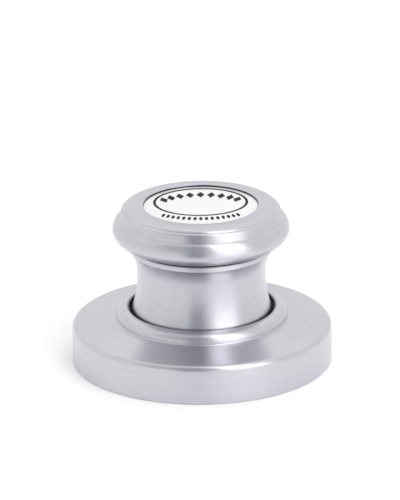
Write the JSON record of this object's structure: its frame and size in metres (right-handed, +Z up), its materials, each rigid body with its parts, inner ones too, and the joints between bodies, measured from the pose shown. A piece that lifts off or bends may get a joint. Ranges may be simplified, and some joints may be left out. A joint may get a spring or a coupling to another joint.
{
  "type": "disposal air switch",
  "caption": "Counter-top air switch: a waisted push button with a mushroom cap in a round flange, over a threaded shank with bellows, lock nut and hose barb.",
  "frame": {"origin": "on the button's axis, at the counter's top face, where the flange's underside rests", "axes": "+Z up along the button's axis, out of the counter; the button travels along -Z; +X to the right and +Y away from someone who stands in front of the counter"},
  "size_m": [0.054, 0.054, 0.1125],
  "materials": {
    "satin_nickel": "fine circular brushing, satin",
    "black_rubber": "matte",
    "black_nylon": "moulded, glass filled",
    "acetal": "smooth, slightly waxy",
    "white_enamel": "glossy white with black line marks",
    "foam_pad": "closed-cell foam",
    "stainless": "turned",
    "spring_steel": "drawn wire, lightly oiled",
    "brass": "turned",
    "red_fibre": "vulcanised fibre",
    "zinc_steel": "zinc plated"
  },
  "bodies": {
    "base": {"trim_flange": "satin_nickel", "flange_seal": "black_rubber", "threaded_shank": "black_nylon", "socket_gasket": "black_rubber", "guide_bush": "acetal", "lower_spring_seat": "stainless", "return_spring": "spring_steel", "bellows": "black_rubber", "bellows_clamp_ring": "acetal", "end_cap": "black_nylon", "end_cap_o_ring": "black_rubber", "hose_barb": "brass", "barb_washer": "red_fibre"},
    "button": {"button_spool": "satin_nickel", "button_cap": "satin_nickel", "cap_washer": "black_rubber", "label_disc": "white_enamel", "label_pad": "foam_pad", "button_o_ring": "black_rubber", "stem": "stainless", "upper_spring_seat": "stainless", "retaining_ring": "spring_steel", "plunger": "acetal"},
    "washers": {"deck_washer": "black_rubber", "slip_washer": "zinc_steel"},
    "nut": {"lock_nut": "black_nylon"}
  },
  "joints": [
    {"name": "button_press", "type": "slide", "parent": "base", "child": "button", "axis": [0, 0, -1], "range_m": [0, 0.005], "stiffness_N_per_m": 700, "springref_m": -0.0043, "deforming": ["return_spring", "bellows"]},
    {"name": "nut_travel", "type": "slide", "parent": "base", "child": "washers", "axis": [0, 0, -1], "range_m": [0, 0.0161]},
    {"name": "nut_turn", "type": "hinge", "parent": "washers", "child": "nut", "pos_m": [0, 0, -0.0287], "axis": [0, 0, -1], "range_deg": [0, 2880]}
  ],
  "couplings": [
    {"joint": "nut_travel", "follows": "nut_turn", "m_per_rad": 0.00031831}
  ]
}
